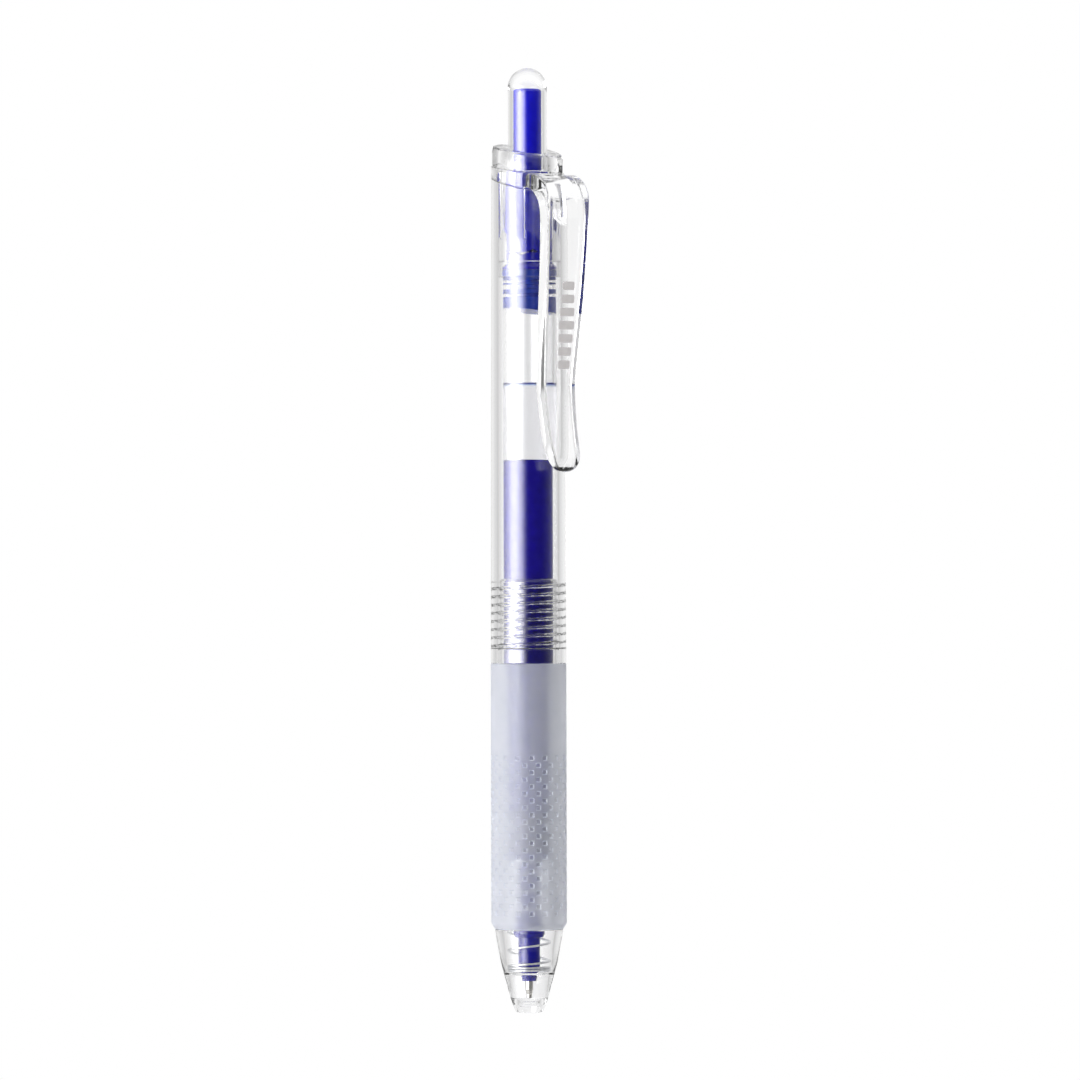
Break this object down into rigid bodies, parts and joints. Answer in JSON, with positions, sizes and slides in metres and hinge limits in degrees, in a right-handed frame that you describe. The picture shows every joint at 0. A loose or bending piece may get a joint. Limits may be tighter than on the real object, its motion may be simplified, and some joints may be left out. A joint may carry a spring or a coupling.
{
  "type": "gel pen",
  "caption": "Retractable gel pen with a clear two-part shell, frosted dimpled grip, clear clip, wide refill and push button.",
  "frame": {"origin": "centre of the nose's end face", "axes": "+Z along the pen's axis from the writing end to the push button; the clip is on the -Y side"},
  "size_m": [0.0116, 0.0167, 0.145],
  "materials": {
    "clear_shell": "clear moulded polycarbonate, polished",
    "frosted_grip": "translucent matt elastomer",
    "blue_plastic": "smooth moulded blue plastic",
    "tube_plastic": "clear extruded polypropylene",
    "ink": "blue-violet gel ink",
    "grease": "clear grease",
    "tip_metal": "turned nickel silver",
    "ball_metal": "polished tungsten carbide",
    "spring_steel": "drawn stainless wire"
  },
  "bodies": {
    "barrel": {"rear_barrel": "clear_shell", "top_cap": "clear_shell", "clip_ring": "clear_shell"},
    "clip": {"clip_arm": "clear_shell"},
    "button": {"push_button": "clear_shell", "plunger": "blue_plastic"},
    "rotor": {"cam_rotor": "blue_plastic"},
    "refill": {"refill_tube": "tube_plastic", "tail_plug": "blue_plastic", "ink": "ink", "grease_follower": "grease", "tip_holder": "blue_plastic", "metal_tip": "tip_metal"},
    "ball": {"writing_ball": "ball_metal"},
    "spring": {"return_spring": "spring_steel"},
    "front": {"front_barrel": "clear_shell", "grip": "frosted_grip"}
  },
  "joints": [
    {"name": "press", "type": "slide", "parent": "barrel", "child": "button", "axis": [0, 0, -1], "range_m": [0, 0.0065], "stiffness_N_per_m": 400, "springref_m": -0.003, "deforming": ["return_spring"]},
    {"name": "refill_travel", "type": "slide", "parent": "barrel", "child": "refill", "axis": [0, 0, -1], "range_m": [0, 0.0065]},
    {"name": "cam_turn", "type": "hinge", "parent": "button", "child": "rotor", "pos_m": [0, 0, 0.1152], "axis": [0, 0, 1], "continuous": true},
    {"name": "ball_roll", "type": "hinge", "parent": "refill", "child": "ball", "pos_m": [0, 0, 0.00235], "axis": [1, 0, 0], "continuous": true},
    {"name": "clip_flex", "type": "hinge", "parent": "barrel", "child": "clip", "pos_m": [0, -0.00625, 0.1283], "axis": [-1, 0, 0], "range_deg": [0, 5], "stiffness_Nm_per_rad": 0.4},
    {"name": "unscrew_travel", "type": "slide", "parent": "barrel", "child": "spring", "axis": [0, 0, -1], "range_m": [0, 0.0094]},
    {"name": "unscrew_turn", "type": "hinge", "parent": "spring", "child": "front", "pos_m": [0, 0, 0.05], "axis": [0, 0, -1], "range_deg": [0, 2700]}
  ],
  "couplings": [
    {"joint": "refill_travel", "follows": "press", "ratio": 1},
    {"joint": "unscrew_travel", "follows": "unscrew_turn", "m_per_rad": 0.00019894}
  ]
}
